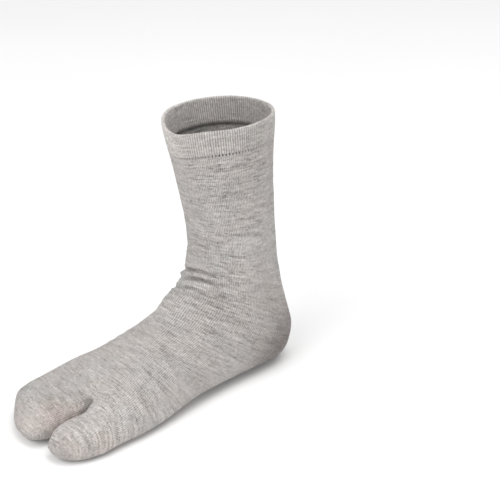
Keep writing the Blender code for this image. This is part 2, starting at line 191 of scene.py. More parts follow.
def tube_table():
    """The leg's and foot's sections as rows of one table, in metres."""
    ankle, rise = FLOOR + ANKLE_HEIGHT, LEG_HEIGHT - ANKLE_HEIGHT
    rows = [(
        -s.ahead_front * LEG_DEPTH, ankle + s.rise_front * rise,
        -s.ahead_back * LEG_DEPTH, ankle + s.rise_back * rise,
        s.middle * LEG_WIDTH, (s.middle + s.half) * LEG_WIDTH, (s.half - s.middle) * LEG_WIDTH,
        0.5, LEG_ROUNDNESS, LEG_ROUNDNESS, 0.0, 0.0,
    ) for s in LEG_SECTIONS]
    for s in FOOT_SECTIONS:
        back_length = SPLIT_AHEAD if s.ahead_back > 0 else HEEL_REACH
        rows.append((
            -s.ahead_front * SPLIT_AHEAD, FLOOR + s.rise_front * ANKLE_HEIGHT,
            -s.ahead_back * back_length, FLOOR + s.rise_back * ANKLE_HEIGHT,
            s.crest * BALL_WIDTH, s.medial * BALL_WIDTH, s.lateral * BALL_WIDTH,
            s.level, s.round_front, s.round_back, s.sweep * BALL_WIDTH, s.arch * TOE_HEIGHT,
        ))
    return np.array(rows)


def mesh_places(row_counts, every):
    """Where along its sections each mesh row of a tube is."""
    counts = [max(1, count // every) for count in row_counts[:-1]]
    places = [k + step / count for k, count in enumerate(counts) for step in range(count)]
    return places + [len(row_counts) - 1]


def between(keys, place):
    """The value at a fractional place in a list of rows, on a smooth curve through them."""
    last = len(keys) - 1
    k = min(int(place), last - 1)
    t = place - k
    here, after = keys[k], keys[k + 1]
    before = keys[k - 1] if k > 0 else 2 * here - after
    beyond = keys[k + 2] if k + 2 <= last else 2 * after - here
    return here + 0.5 * t * (
        (after - before)
        + (2 * before - 5 * here + 4 * after - beyond) * t
        + (3 * here - before - 3 * after + beyond) * t**2
    )


def unit(vectors):
    return vectors / np.linalg.norm(vectors, axis=-1, keepdims=True)


def lengths_along(line):
    """How far along a line each of its points is."""
    return np.concatenate([[0.0], np.cumsum(np.linalg.norm(np.diff(line, axis=0), axis=1))])


def points_at(line, along, at):
    """The points of a line at these lengths along it."""
    return np.stack([np.interp(at, along, line[:, axis]) for axis in range(3)], axis=-1)


def divided(outline, shares):
    """The points of a closed outline at these shares of its length."""
    loop = np.vstack([outline, outline[:1]])
    along = lengths_along(loop)
    return points_at(loop, along, (np.asarray(shares) % 1.0) * along[-1])


def rounded_square(exponent):
    """Points round a superellipse of half width 1: exponent 2 is a circle, and more is squarer."""
    angle = np.arange(CURVE_SAMPLES) / CURVE_SAMPLES * 2 * np.pi
    c, s = np.cos(angle), np.sin(angle)
    power = 2 / (np.where(c > 0, *exponent) if isinstance(exponent, tuple) else exponent)
    return np.sign(c) * np.abs(c) ** power, np.sign(s) * np.abs(s) ** power


def tube_outline(row):
    """A section's outline, from the front over the big toe's side to the back and round again."""
    front_y, front_z, back_y, back_z, crest, medial, lateral, level, *squareness, sweep, arch = row
    up, across = rounded_square(tuple(squareness))
    share = np.where(up > 0, level + (1 - level) * up, level + level * up)
    x = crest * (1 - np.abs(across)) + np.where(across > 0, medial, lateral) * across
    trail = sweep * np.clip((crest - x) / (crest + lateral), 0, 1) ** 2
    lift = arch * np.clip((x - crest) / (medial - crest), 0, 1) * (1 - share) ** 2
    y = back_y + (front_y - back_y) * share + trail
    z = back_z + (front_z - back_z) * share + lift
    return np.stack([x, y, np.maximum(z, FLOOR)], axis=1)


def turns_from(turn, middle):
    """How far round a section a place is from another one, at most half a turn either way."""
    return (turn - middle + 0.5) % 1.0 - 0.5


def fold_depth(place, turn):
    """How far the source's folds press the fabric in, at a place along the sections."""
    depth = np.zeros_like(turn)
    for fold in FOLDS:
        fade = np.clip(1 - (turns_from(turn, fold.middle) / fold.reach) ** 2, 0, 1) ** 2
        middle = fold.place + fold.lean * np.clip(-turns_from(turn, FOLD_CREST), 0, LEANING)
        depth += fold.depth * FOLD_DEPTH * fade * np.exp(-(((place - middle) / fold.width) ** 2))
    return depth


def rim_sag(place, turn):
    """How far the fabric has slipped down at a place, most at the leg's upper edge."""
    fade = max(1 - place / SAG_FADE, 0)
    return RIM_SAG * fade * np.exp(-((turns_from(turn, SAG_MIDDLE) / SAG_REACH) ** 2))


def split_dip(place, turn, middle):
    """The depth of the hollow behind the split, which fades backwards and to both sides."""
    columns_off = turns_from(turn, middle) * SOURCE_COLUMNS
    sections_off = len(LEG_SECTIONS) + len(FOOT_SECTIONS) - 1 - place
    return SPLIT_DIP * np.exp(-((columns_off / 1.6) ** 2) - (sections_off / 0.7) ** 2)


def tube_points(table, place, turn):
    """Points of the leg or foot at a place along the sections, at these turns round them."""
    outline = tube_outline(between(table, place))
    ring = divided(outline, turn)
    ring += unit(outline.mean(axis=0) - ring) * fold_depth(place, turn)[:, None]
    ring[:, 2] -= rim_sag(place, turn)
    ring[:, 2] += split_dip(place, turn, SOURCE_MEDIAL / SOURCE_COLUMNS) - split_dip(place, turn, 0)
    ring[:, 2] = np.maximum(ring[:, 2], FLOOR)
    return ring


def tube_ring(table, place, grid):
    return tube_points(table, place, np.arange(grid.columns) / grid.columns)


def toe_ring(section, side, grid):
    """A toe pocket's section, numbered as in the part's source. side is 1 for the big toe."""
    inwards, up = rounded_square(section.roundness)
    out = (1 - inwards) / 2
    inner = SPLIT_X + side * (SPLIT_GAP / 2 + section.inner * BALL_WIDTH)
    outer = SPLIT_X + side * (SPLIT_GAP / 2 + section.outer * BALL_WIDTH)
    ahead = section.ahead_inner * (1 - out) + section.ahead_outer * out + section.bow * 4 * out * (1 - out)
    high = section.high - section.slope * out
    rise = (high + section.low) / 2 + side * up * (high - section.low) / 2
    x = inner + (outer - inner) * out
    y = -(SPLIT_AHEAD + ahead * SPLIT_DEPTH)
    outline = np.stack([x, y, FLOOR + np.maximum(rise, 0) * TOE_HEIGHT], axis=1)
    columns = grid.medial if side > 0 else grid.columns - grid.medial
    count = columns + grid.web
    return divided(outline, (np.arange(count) + grid.web / 2) / count)


def foot_columns(side, grid):
    """The foot's columns that run on into a toe pocket."""
    first, last = (0, grid.medial) if side > 0 else (grid.medial, grid.columns)
    return np.arange(first, last + 1) % grid.columns


def web_between(near, far, grid):
    """The bottom of the split, from one of its ends to the other."""
    shares = np.arange(1, grid.web) / grid.web
    return near + (far - near) * shares[:, None]


def pocket_rings(table, side, grid):
    """The rings of a toe pocket, the first of them at the bottom of the split."""
    sections, others = (BIG_TOE, SMALL_TOES)[::side]
    columns = foot_columns(side, grid)
    end = tube_ring(table, len(table) - 1, grid)[columns]
    behind = tube_ring(table, len(table) - 2, grid)[columns]
    start = np.vstack([end, web_between(end[-1], end[0], grid)])
    other_web = toe_ring(others[0], -side, grid)[1 - grid.web :][::-1]
    keys = np.array([np.vstack([behind, other_web]), start] + [toe_ring(s, side, grid) for s in sections])
    places = mesh_places([ROOT_ROWS] + [s.rows for s in sections], grid.every)
    rings = np.array([between(keys, 1 + place) for place in places])
    rings[:, :, 2] = np.maximum(rings[:, :, 2], FLOOR)
    return rings


def end_pairs(side, grid):
    """Pairs of columns of a toe pocket's last ring, one over the other, from the split outwards."""
    columns = len(foot_columns(side, grid)) - 1
    count = columns + grid.web
    start = columns + grid.web // 2
    return [((start + k) % count, (start - k) % count) for k in range(count // 2 + 1)]


def end_arcs(ring, pairs):
    """A toe pocket's end at each pair of columns: its middle, half height, way ahead and reach that way."""
    one, other = ring[np.array(pairs)].transpose(1, 0, 2)
    middle, half = (one + other) / 2, (one - other) / 2
    ahead = np.zeros_like(half)
    ahead[1:-1] = unit(np.cross(middle[2:] - middle[:-2], half[1:-1]))
    height = np.linalg.norm(half, axis=1)
    return middle, half, ahead, CAP_REACH * np.minimum(1.0, height / height.max() * 1.6) ** 0.5


class Shell:
    """The sock's skin as arrays: points, faces, and for each face corner its wale and course."""

    def __init__(self, table, grid):
        self.grid = grid
        self.points, self.round, self.place, self.faces, self.corners = [], [], [], [], []
        places = mesh_places([s.rows for s in LEG_SECTIONS + FOOT_SECTIONS], grid.every)
        turn = np.arange(grid.columns) / grid.columns
        rings = np.array([tube_ring(table, place, grid) for place in places])
        courses = lengths_along(rings[:, int(COUNTED_AT * grid.columns)]) / COURSE
        circle = np.stack([np.cos(2 * np.pi * turn), np.sin(2 * np.pi * turn)], axis=1)
        ids = [self.add(ring, circle, place) for ring, place in zip(rings, places)]
        for near, far, low, high in zip(ids, ids[1:], courses, courses[1:]):
            self.strip(near, far, turn * WALES, WALES, low, high)
        self.rim = ids[0]
        big, small = (pocket_rings(table, side, grid) for side in (1, -1))
        web_circle = web_between(circle[grid.medial], circle[0], grid)
        web = self.add(big[0][grid.medial + 1 :], web_circle)
        self.pocket(1, big, ids[-1], web, circle, web_circle, courses[-1])
        self.pocket(-1, small, ids[-1], web[::-1], circle, web_circle[::-1], courses[-1])
        self.points, self.round, self.place = map(np.concatenate, (self.points, self.round, self.place))

    def add(self, points, circle, place=len(LEG_SECTIONS + FOOT_SECTIONS) - 1):
        first = sum(len(p) for p in self.points)
        self.points.append(points)
        self.round.append(circle)
        self.place.append(np.full(len(points), float(place)))
        return list(range(first, first + len(points)))

    def strip(self, near, far, wales, total, low, high):
        """Quads between two closed rings, with the wale and course at each corner."""
        for k in range(len(near)):
            after = (k + 1) % len(near)
            u, v = wales[k], wales[after] if after else total
            self.faces.append((near[k], far[k], far[after], near[after]))
            self.corners.append(((u, low), (u, high), (v, high), (v, low)))

    def pocket(self, side, rings, foot_ring, web, circle, web_circle, course):
        grid = self.grid
        columns = foot_columns(side, grid)
        wales = np.arange(len(columns)) / grid.columns * WALES
        total = round(wales[-1] + WEB_WALES)
        rest = wales[-1] + (total - wales[-1]) * np.arange(1, grid.web) / grid.web
        wales = np.concatenate([wales, rest])
        near = [foot_ring[c] for c in columns] + web
        circle = np.vstack([circle[columns], web_circle])
        courses = course + lengths_along(rings[:, len(columns) // 2]) / COURSE
        for ring, low, high in zip(rings[1:], courses, courses[1:]):
            far = self.add(ring, circle)
            self.strip(near, far, wales, total, low, high)
            near = far
        self.cap(near, rings[-1], wales, circle, courses[-1], end_pairs(side, grid))

    def cap(self, near, ring, wales, circle, course, pairs):
        """The rounded end of a toe pocket: an arc from each column over to the one below it."""
        rows = self.grid.cap
        upper = rows // 2
        angle = np.linspace(0, math.pi, rows + 1)[1:-1, None]
        arcs, rises = [], []
        for (one, other), middle, half, ahead, reach in zip(pairs, *end_arcs(ring, pairs)):
            if one == other:
                arcs.append([near[one]] * (rows + 1))
                rises.append(0.0)
                continue
            source = [one if m < upper else other for m in range(rows - 1)]
            arc = middle + half * np.cos(angle) + ahead * reach * np.sin(angle)
            arcs.append([near[one], *self.add(arc, circle[source]), near[other]])
            rises.append((np.linalg.norm(half) + reach * 0.6) / COURSE)
        for k in range(len(pairs) - 1):
            for m in range(rows):
                face, corners = [], []
                for pair, step in ((k, m), (k, m + 1), (k + 1, m + 1), (k + 1, m)):
                    vert = arcs[pair][step]
                    if vert not in face:
                        face.append(vert)
                        wale = wales[pairs[pair][0 if m <= upper else 1]]
                        corners.append((wale, course + rises[pair] * math.sin(math.pi * step / rows)))
                if len(face) > 2:
                    self.faces.append(tuple(face))
                    self.corners.append(tuple(corners))


def normals_of(points, faces):
    """Vertex normals, weighted by the faces' areas."""
    normals = np.zeros_like(points)
    quads = np.array([f if len(f) == 4 else (*f, f[-1]) for f in faces])
    across = points[quads[:, 2]] - points[quads[:, 0]]
    other = points[quads[:, 3]] - points[quads[:, 1]]
    each = np.cross(across, other)
    for corner in range(4):
        np.add.at(normals, quads[:, corner], each)
    return normals / np.maximum(np.linalg.norm(normals, axis=1), 1e-12)[:, None]


def crease_relief(points, normals, line, crease):
    """How far one crease moves each point outwards: a groove, and a roll along one side of it."""
    depth, width = crease.depth, crease.width
    relief = np.zeros(len(points))
    margin = 5 * width
    box = ((points > line.min(axis=0) - margin) & (points < line.max(axis=0) + margin)).all(axis=1)
    where = np.flatnonzero(box)
    p = points[where]
    best, along, side = np.full(len(p), np.inf), np.zeros(len(p)), np.zeros(len(p))
    count = len(line) - 1
    for k in range(count):
        a, b = line[k], line[k + 1]
        t = np.clip((p - a) @ (b - a) / ((b - a) @ (b - a)), 0, 1)
        off = p - (a + t[:, None] * (b - a))
        away = np.linalg.norm(off, axis=1)
        towards = np.sign((off * np.cross(normals[where], b - a)).sum(axis=1))
        best, along, side = np.where(away < best, (away, (k + t) / count, towards), (best, along, side))
    fade = np.clip(4 * along * (1 - along), 0, 1) ** 0.6
    groove = -depth * np.exp(-((best / width) ** 2))
    bulge = depth * crease.roll * np.exp(-(((best * side - ROLL_PLACE * width) / (ROLL_WIDTH * width)) ** 2))
    relief[where] = fade * (groove + bulge)
    return relief


def crease_line(table, points, steps=14):
    """A crease's run over the skin, through its points (place, turn)."""
    keys = np.array(points)
    shares = np.linspace(0, len(keys) - 1, steps)
    path = np.array([between(keys, share) for share in shares])
    return np.array([tube_points(table, place, np.array([turn]))[0] for place, turn in path])


# Short creases that are strewn over a stretch of the sock. count of them lie between two places along the
# sections and at most around turns from the front; lean is how far they may run down the foot.
Strewn = namedtuple("Strewn", "count first last around short long lean shallow deep narrow wide")
STREWN = rows_of(
    Strewn,
    (40, 3.9, 8.6, 0.3, 0.1, 0.26, 0.06, 0.00012, 0.00034, 0.0013, 0.0026),
    (46, 0.3, 3.9, 0.5, 0.03, 0.12, 0.05, 0.00006, 0.00022, 0.0008, 0.0016),
    (34, 8.2, 12.6, 0.25, 0.08, 0.22, 0.05, 0.00006, 0.0002, 0.0012, 0.0026),
)


def strewn_creases(seed):
    """The short creases, each with a size, place and direction of its own."""
    pick = np.random.default_rng(seed)
    creases = []
    for s in STREWN:
        for _ in range(s.count):
            turn, place = pick.uniform(-s.around, s.around), pick.uniform(s.first, s.last)
            reach, lean = pick.uniform(s.short, s.long), pick.uniform(-s.lean, s.lean)
            run = [(place + lean * k, turn + reach * k * 0.5) for k in (-1, 0, 1)]
            creases.append(Crease(pick.uniform(s.shallow, s.deep), pick.uniform(s.narrow, s.wide), 0.6, run))
    return creases


def unevenness(points):
    """The slight lumps of worn knitted cloth, as an outward move in metres."""
    broad = np.array([noise.noise(Vector(p) * 55) for p in points])
    small = np.array([noise.noise(Vector(p) * 210 + Vector((7, 3, 1))) for p in points])
    return 0.00035 * broad + 0.00012 * small


def soften(points, faces, middles, reach, times):
    """Smooths the skin round some places, less with the distance from them."""
    weight = np.zeros(len(points))
    for middle in middles:
        away = np.linalg.norm(points - middle, axis=1)
        weight = np.maximum(weight, np.exp(-((away / reach) ** 4)))
    pairs = np.array([(f[k], f[(k + 1) % len(f)]) for f in faces for k in range(len(f))])
    pairs = pairs[weight[pairs].max(axis=1) > 0.003]
    ends, others = np.concatenate([pairs, pairs[:, ::-1]]).T
    tally = np.maximum(np.bincount(ends, minlength=len(points)), 1)[:, None]
    for _ in range(times):
        total = np.stack([np.bincount(ends, points[others, axis], len(points)) for axis in range(3)], axis=1)
        points = points + np.where(tally > 1, total / tally - points, 0) * 0.6 * weight[:, None]
    return points


def kept_inside(lining, points, faces, depth):
    """The lining with each point at least this deep under the skin."""
    skin = BVHTree.FromPolygons(points.tolist(), faces)
    kept = lining.copy()
    for k, point in enumerate(lining):
        spot, normal, _, _ = skin.find_nearest(Vector(point))
        if (Vector(point) - spot).dot(normal) > -depth:
            kept[k] = spot - normal * depth
    return kept


def knit_body(table):
    """The leg, heel, foot and toe pockets as one skin of knitted cloth with its inner face."""
    outer, inner = Shell(table, OUTSIDE), Shell(table, INSIDE)
    ends = tube_points(table, len(table) - 1, np.array([0, SOURCE_MEDIAL / SOURCE_COLUMNS]))
    crotch = [ends[0], ends.mean(axis=0), ends[1]]
    tips = [toe_ring(BIG_TOE[-2], 1, INSIDE), toe_ring(SMALL_TOES[-2], -1, INSIDE)]
    softer = ((crotch, SPLIT_SOFTNESS, SPLIT_PASSES), (np.vstack(tips)[::6], TIP_SOFTNESS, TIP_PASSES))
    for middles, reach, passes in softer:
        for shell, times in zip((outer, inner), passes):
            shell.points = soften(shell.points, shell.faces, middles, reach, times)
    normals = normals_of(outer.points, outer.faces)
    relief = unevenness(outer.points)
    for crease in [*CREASES, *strewn_creases(11)]:
        relief += crease_relief(outer.points, normals, crease_line(table, crease.points), crease)
    relief *= np.clip(outer.place / 0.25, 0.2, 1)
    points = outer.points + normals * relief[:, None]
    points[:, 2] -= HOLE_HEIGHT / 2 * np.clip(1 - outer.place / 0.2, 0, 1)
    points[:, 2] = np.maximum(points[:, 2], FLOOR)
    lining = inner.points - normals_of(inner.points, inner.faces) * KNIT_WALL
    lining = kept_inside(lining, points, outer.faces, LEAST_WALL * KNIT_WALL)
    first = len(points)
    faces = outer.faces + [tuple(first + i for i in f[::-1]) for f in inner.faces]
    corners = outer.corners + [c[::-1] for c in inner.corners]
    step = OUTSIDE.columns // INSIDE.columns
    half = step // 2
    for k in range(INSIDE.columns):
        here, after = first + inner.rim[k], first + inner.rim[(k + 1) % INSIDE.columns]
        edge = [outer.rim[(k * step + n) % OUTSIDE.columns] for n in range(step + 1)]
        faces += [(edge[n], edge[n + 1], here if n < half else after) for n in range(step)]
        faces.append((edge[half], after, here))
    corners += [((0, 0),) * 3] * (len(faces) - len(corners))
    skins = [int(k >= len(outer.faces)) for k in range(len(faces))]
    points = np.vstack([points, lining]).astype(np.float32)
    mesh = mesh_of("knit_body", points, faces, corners, skins)
    # painted light and shade, and a warm tint, from the TONES table
    deeper, warmer = tones_at(points)
    attribute_of(mesh, "ring", np.pad(np.vstack([outer.round, inner.round]), ((0, 0), (0, 1))))
    attribute_of(mesh, "level", np.pad(course_level(outer), (0, len(lining))))
    attribute_of(mesh, "deeper", deeper)
    attribute_of(mesh, "warmer", warmer)
    return piece_of("knit_body", mesh, knit_material(), purl_material())


# Places where the knit gets painted shade, or painted light where the number is negative, and where it is
# warmer as it is drawn thin or rubbed. They are given in steps of 5 mm.
Tone = namedtuple("Tone", "x y z reach deeper warmer")
TONES = rows_of(
    Tone,
    # positive numbers over the heel: painted shade
    (0.035, 0.01, 0.01, 0.025, 0.26, 0.5),  # the heel
    (0.035, 0.03, 0.02, 0.025, 0.34, 0.8),
    (0.01, 0.055, 0.03, 0.035, 0.42, 0.8),
    (0.035, 0.015, 0.06, 0.02, 0.09, 0.3),
    (0.01, -0.185, 0.02, 0.015, 0.04, 1.0),  # the toe pockets, by the split and at their ends
    (0.015, -0.17, 0.02, 0.01, 0.06, 0.9),
    (0.04, -0.195, 0.015, 0.01, 0.05, 0.8),
    (0.055, -0.17, 0.01, 0.01, 0.04, 0.7),
    (-0.015, -0.2, 0.01, 0.015, 0.0, 0.6),
    # negative numbers: painted light on the foot's lower edge, which lies in shade
    (0.05, -0.19, 0.005, 0.03, -0.2, 0.0),  # the foot's lower edge, from the toes to the arch
    (0.0, -0.205, 0.0, 0.025, -0.22, 0.0),
    (0.055, -0.15, 0.01, 0.03, -0.16, 0.0),
    (0.05, -0.11, 0.015, 0.025, -0.08, 0.0),
    (0.035, -0.03, 0.02, 0.02, -0.08, 0.0),
    (0.025, -0.04, 0.075, 0.02, 0.11, 0.0),  # the front of the ankle, and the leg
    (0.025, -0.005, 0.12, 0.02, -0.09, 0.0),
    (0.035, 0.005, 0.175, 0.025, 0.07, 0.0),
)


def tones_at(points):
    """How much painted shade (painted light where negative) and how warm a tint the knit gets at each point.
    """
    deeper, warmer = np.zeros(len(points)), np.zeros(len(points))
    for t in TONES:
        near = np.exp(-(((points - np.array((t.x, t.y, t.z))) ** 2).sum(axis=1) / t.reach**2))
        deeper += t.deeper * near
        warmer = np.maximum(warmer, t.warmer * near)
    return deeper, warmer


def course_level(shell):
    """The base-two logarithm of how much taller than COURSE one course is drawn at each point."""
    total, tally = np.zeros((2, len(shell.points)))
    for face, corner in zip(shell.faces, shell.corners):
        courses = abs(corner[1][1] - corner[0][1])
        if len(face) < 4 or courses < 1e-6:
            continue
        for a, b in ((face[0], face[1]), (face[3], face[2])):
            height = np.linalg.norm(shell.points[a] - shell.points[b]) / courses / COURSE
            total[[a, b]] += math.log2(max(height, 0.2))
            tally[[a, b]] += 1
    return total / np.maximum(tally, 1)


def mesh_of(name, points, faces, corners=None, skins=None):
    """A smooth mesh of these points and faces, with a knit UV map and a material number per face."""
    mesh = bpy.data.meshes.new(name)
    mesh.from_pydata(points.tolist(), [], faces)
    if corners is not None:
        layer = mesh.uv_layers.new(name="knit")
        layer.data.foreach_set("uv", np.array([uv for c in corners for uv in c], np.float32).ravel())
    if skins is not None:
        mesh.polygons.foreach_set("material_index", np.array(skins, np.int32))
    mesh.shade_smooth()
    mesh.update()
    return mesh


def attribute_of(mesh, name, values):
    """Keeps a number or a vector for each point of a mesh."""
    kind, field = ("FLOAT", "value") if values.ndim == 1 else ("FLOAT_VECTOR", "vector")
    mesh.attributes.new(name, kind, "POINT").data.foreach_set(field, values.astype(np.float32).ravel())


def piece_of(name, data, *materials):
    piece = bpy.data.objects.new(name, data)
    bpy.context.scene.collection.objects.link(piece)
    for material in materials:
        data.materials.append(material)
    return piece


def rim_frame(table, grid):
    """The leg's upper edge: its ring, the direction out of the leg at each point, and the leg's axis."""
    base, below = tube_ring(table, 0, grid), tube_ring(table, 0.5, grid)
    middle = base.mean(axis=0)
    up = unit(middle - below.mean(axis=0))
    out = base - middle
    return base, unit(out - (out @ up)[:, None] * up), up


RIBS = 140
# WELT_PALE and WELT_FADE set the welt's painted light round its ring: paler at the front, darker at the back
WELT_PALE = -0.05  # the turn at which the welt is palest
WELT_FADE = 0.08
RIB_COLUMNS = 6
RIB_RELIEF = 0.00034
RIM_SCALLOP = 0.00016  # how far a rib rises over the rim
WELT_PUFF = 0.00025
WELT_WANDER = 0.00030  # how far the rim runs up and down
LOOPS = 98  # round the seam between the welt and the leg
LOOP_WIDTH = 0.00075
LOOP_VARIES = 0.00040
STITCH_RADIUS = 0.00032
STITCH_END = 0.0006  # how far a stitch runs on behind the cloth's edge
LINKING_PITCH = 0.0010
LINK_RADIUS = 0.00026
LINK_REACH = 0.00070
LINK_SLANT = 0.00035
LINK_HEIGHT = 0.00030
ANY_WAY = (0.31, 0.17, 0.93)  # along no stitch, to set out a tube's rings by
HOLE_HEIGHT = 0.0017  # the openings of the row of stitches between the welt and the leg


def welt_profile():
    """The band's section, up the outside and down the inside: out of its wall, up it, and how lit it is.

    Its inner ply runs on behind the row of stitches.
    """
    path = [(1.0, up, 1.0) for up in np.linspace(0.03, 0.93, 12)]
    for angle in np.linspace(0, math.pi, 9)[1:-1]:
        # painted highlight over the turned top
        path.append((0.5 + 0.5 * math.cos(angle), 0.93 + 0.07 * math.sin(angle), 1.10))
    path += [(0.0, up, 1.0) for up in np.linspace(0.93, 0.03, 8)]
    # painted shade on the inner ply behind the row of stitches
    path += [(0.0, -0.13, 0.6), (0.22, -0.14, 0.30), (0.36, -0.12, 0.25), (0.38, 0.0, 0.25), (0.80, 0.0, 0.5)]
    return path


def welt(table):
    """The ribbed band at the rim: two plies, turned over at the top."""
    grid = Grid(RIBS * RIB_COLUMNS)
    base, out, up = rim_frame(table, grid)
    count = grid.columns
    turn = np.arange(count) / count
    circle = np.stack([np.cos(2 * np.pi * turn), np.sin(2 * np.pi * turn), np.zeros(count)], axis=1)
    wander, uneven = (np.array([noise.noise(Vector(spot) * scale) for spot in circle]) for scale in (4, 26))
    rib = np.cos(2 * np.pi * turn * RIBS) * (1 + 0.35 * uneven)
    profile = welt_profile()
    points, lengths = [], [0.0]
    for outwards, rise, _ in profile:
        outside = outwards > 0.5
        puff = WELT_PUFF * math.sin(math.pi * min(max(rise, 0), 1)) * outside
        amplitude = RIB_RELIEF * (1 if outside else -1) * (rise > 0.02)
        offset = (outwards - 1) * WELT_WALL + rise * WELT_FLARE + puff + rib * amplitude
        scallop = RIM_SCALLOP * rib * (rise > 0.95)
        lift = PIECE_GAP + HOLE_HEIGHT / 2 + rise * (WELT_HEIGHT - HOLE_HEIGHT / 2)
        lift = lift + WELT_WANDER * wander * (rise > 0) + scallop
        ring = base + out * offset[:, None] + up * lift[:, None]
        if points:
            lengths.append(lengths[-1] + np.linalg.norm(ring[0] - points[-1][0]) / COURSE)
        points.append(ring)
    lengths.append(lengths[-1] + 1.5)
    ids = np.arange(len(points) * count).reshape(-1, count)
    faces, corners = [], []
    for near, far, low, high in zip(ids, np.roll(ids, -1, axis=0), lengths, lengths[1:]):
        for c in range(count):
            d, u, v = (c + 1) % count, c / RIB_COLUMNS, (c + 1) / RIB_COLUMNS
            faces.append((near[c], near[d], far[d], far[c]))
            corners.append(((u, low), (v, low), (v, high), (u, high)))
    mesh = mesh_of("rib_welt", np.vstack(points), faces, corners)
    # painted light towards the front of the welt and painted shade towards its back, put into the lit
    # attribute
    painted_light_round = 1 + WELT_FADE * np.cos(2 * np.pi * (turn - WELT_PALE))
    attribute_of(mesh, "ring", np.tile(circle, (len(points), 1)))
    attribute_of(mesh, "lit", np.outer([row[2] for row in profile], painted_light_round).ravel())
    return piece_of("rib_welt", mesh, welt_material())


def tubes(name, paths, radius, material, sides=6):
    """A piece of thin round tubes along these paths, which have the same number of points."""
    paths = np.array(paths)
    ahead = unit(np.gradient(paths, axis=1))
    side = unit(np.cross(ahead, ANY_WAY))[:, :, None]
    other = np.cross(ahead, side[:, :, 0])[:, :, None]
    angle = np.arange(sides)[:, None] / sides * 2 * np.pi
    points = paths[:, :, None] + radius * (np.cos(angle) * side + np.sin(angle) * other)
    faces = []
    for tube in np.arange(points.size // 3).reshape(points.shape[:3]):
        for low, high in zip(tube, tube[1:]):
            faces += [(low[s - 1], low[s], high[s], high[s - 1]) for s in (*range(1, sides), 0)]
        faces += [tuple(tube[0][::-1]), tuple(tube[-1])]
    return piece_of(name, mesh_of(name, points.reshape(-1, 3), faces), material)


def joining_stitches(table, yarn):
    """The row of loops that joins the welt to the leg, wider in some places than in others."""
    grid = Grid(LOOPS)
    base, out, up = rim_frame(table, grid)
    below = tube_ring(table, 0.12, grid)
    seat, end = PIECE_GAP + HOLE_HEIGHT * 0.5, HOLE_HEIGHT * 0.6
    paths = []
    for k in range(LOOPS):
        aside, down = unit(base[(k + 1) % LOOPS] - base[k - 1]), unit(below[k] - base[k])
        angle = 2 * math.pi * k / LOOPS
        wide = LOOP_WIDTH + LOOP_VARIES * noise.noise(Vector((math.cos(angle), math.sin(angle), 0.4)) * 3.0)
        for side in (-1, 0, 1):
            paths.append([
                base[k] + rise + aside * side * wide * share - out[k] * sunk
                for rise, share, sunk in (
                    (up * (seat + STITCH_END), 1.00, 0.0008),
                    (up * seat, 0.95, 0.0003),
                    (up * 0.0, 0.80, 0.00015),
                    (down * end, 0.65, 0.00015),
                    (down * (end + STITCH_END), 0.55, 0.0007),
                )
            ])
    return tubes("joining_stitches", paths, STITCH_RADIUS, yarn)


def toe_linking(name, table, side, body, yarn):
    """The linked seam over the end of a toe pocket: a chain of small slanted loops on the skin."""
    end = pocket_rings(table, side, OUTSIDE)[-1]
    middle, half, ahead, reach = end_arcs(end, end_pairs(side, OUTSIDE))
    outside = [list(face.vertices) for face in body.data.polygons if face.material_index == 0]
    skin = BVHTree.FromPolygons([vertex.co for vertex in body.data.vertices], outside)
    route = (middle + ahead * reach[:, None])[1:-1]
    route = np.array([skin.find_nearest(Vector(spot))[0] for spot in route])
    along = lengths_along(route)
    count = int(along[-1] / LINKING_PITCH)
    paths = []
    for at in (np.arange(count) + 0.5) / count * along[-1]:
        spot = points_at(route, along, at)
        near = min(int(np.searchsorted(along, at)), len(along) - 1) + 1
        across = unit(half[near])
        run = np.cross(across, ahead[near])
        paths.append([
            spot + across * LINK_REACH * a + run * LINK_SLANT * a
            + ahead[near] * LINK_HEIGHT * (math.cos(a * 1.5) - 0.55)
            for a in np.linspace(-1.0, 1.0, 7)
        ])
    return tubes(name, paths, LINK_RADIUS, yarn)


LIGHT_TARGET = Vector((0.0, -0.05, 0.08))
LIGHT_DISTANCE = 3.5
FLOOR_REACH = 12.0
ROOM_STRENGTH = 0.56
# Azimuths are in degrees from the toes towards the big toe's side, elevations in degrees, sizes in metres
Light = namedtuple("Light", "name azimuth elevation size watts")
LIGHTS = rows_of(
    Light,
    ("overhead", 120, 75, 2.8, 57.0),
    ("front", 10, 42, 2.4, 51.0),
    ("low", 50, 14, 1.8, 13.0),
)

# The camera that was fitted to the photograph
CAMERA_TARGET = Vector((0.08962, -0.060, 0.14703))
CAMERA_AZIMUTH = 48.71
CAMERA_ELEVATION = 22.54
CAMERA_ROLL = 0.14
CAMERA_DISTANCE = 0.950
FOCAL_PIXELS = 1309.19
PHOTO_PIXELS = 500
SENSOR = 36.0

# How much of the heather's light and dark comes from short and long streaks along a course, from broad
# bands and from single stitches, how close the streaks are round the ring and how many courses tall
SHORT_SHARE = 0.90
LONG_SHARE = 0.90
BAND_SHARE = 0.30
SPECK_SHARE = 0.40
SHORT_STREAKS = 5.5
LONG_STREAKS = 1.8
STREAK_COURSES = 1.35
ROW_STEP = 7.31  # keeps one row of streaks apart from the next
HEATHER = (
    (0.00, (0.190, 0.176, 0.166)),
    (0.30, (0.370, 0.350, 0.333)),
    (0.50, (0.485, 0.461, 0.441)),
    (0.70, (0.590, 0.562, 0.540)),
    (1.00, (0.760, 0.730, 0.705)),
)
LEG_CONTRAST = 0.94
WELT_CONTRAST = 0.55
WELT_LIGHTER = 1.10
INSIDE_LIGHTER = 0.82
STITCH_SLANT = 1.7  # courses that a stitch's slanted leg would rise over a whole wale
WARMER = (1.07, 0.985, 0.965, 1.0)
CASTS = ((1.018, 0.994, 0.986, 1.0), (0.988, 1.000, 1.006, 1.0))  # warm and cool patches of the yarn
